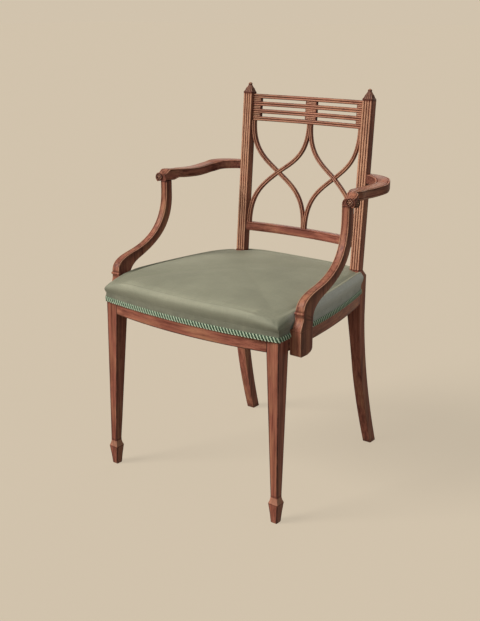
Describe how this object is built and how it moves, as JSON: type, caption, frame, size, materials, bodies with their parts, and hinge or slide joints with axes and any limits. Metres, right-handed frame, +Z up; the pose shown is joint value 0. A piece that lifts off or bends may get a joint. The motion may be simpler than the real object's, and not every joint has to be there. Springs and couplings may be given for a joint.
{
  "type": "open armchair",
  "caption": "Open armchair with tapered spade-foot legs, a reeded lattice back between finialled stiles, serpentine arms and a padded, braid-edged seat.",
  "frame": {"origin": "on the floor, under the middle of the chair's bounding box", "axes": "+Z up, the sitter faces -Y, +X is at the right of someone who looks at the chair's front"},
  "size_m": [0.563, 0.5242, 0.8789],
  "materials": {
    "mahogany": "french-polished red-brown mahogany",
    "beech": "plain unpolished beech",
    "steel": "plain steel screws and tacks",
    "jute": "woven jute",
    "hair": "curled hair",
    "cover": "grey-green plain cloth with a soft sheen",
    "gimp": "pale green braid"
  },
  "bodies": {
    "root": {"front_leg_right": "mahogany", "front_leg_left": "mahogany", "back_leg_right": "mahogany", "back_leg_left": "mahogany", "front_rail": "mahogany", "back_rail": "beech", "side_rail_right": "mahogany", "side_rail_left": "mahogany", "front_corner_block_right": "beech", "front_corner_block_left": "beech", "back_corner_block_right": "beech", "back_corner_block_left": "beech", "corner_block_screws": "steel", "finial_right": "mahogany", "finial_left": "mahogany", "crest_slat_1": "mahogany", "crest_slat_2": "mahogany", "crest_slat_3": "mahogany", "crest_slat_4": "mahogany", "crest_spacers_middle": "mahogany", "crest_spacers_right": "mahogany", "crest_spacers_left": "mahogany", "lattice_bar_1": "mahogany", "lattice_bar_2": "mahogany", "lattice_bar_3": "mahogany", "lattice_bar_4": "mahogany", "low_rail": "mahogany", "arm_right": "mahogany", "arm_left": "mahogany", "arm_support_right": "mahogany", "arm_support_left": "mahogany", "rosettes_right": "mahogany", "rosettes_left": "mahogany", "arm_screws": "steel", "arm_support_screws": "steel", "webbing_front_to_back": "jute", "webbing_side_to_side": "jute", "webbing_tacks": "steel", "hessian": "jute", "stuffing": "hair", "seat_cover": "cover", "gimp_front": "gimp", "gimp_right": "gimp", "gimp_left": "gimp", "gimp_back": "gimp"}
  },
  "joints": []
}
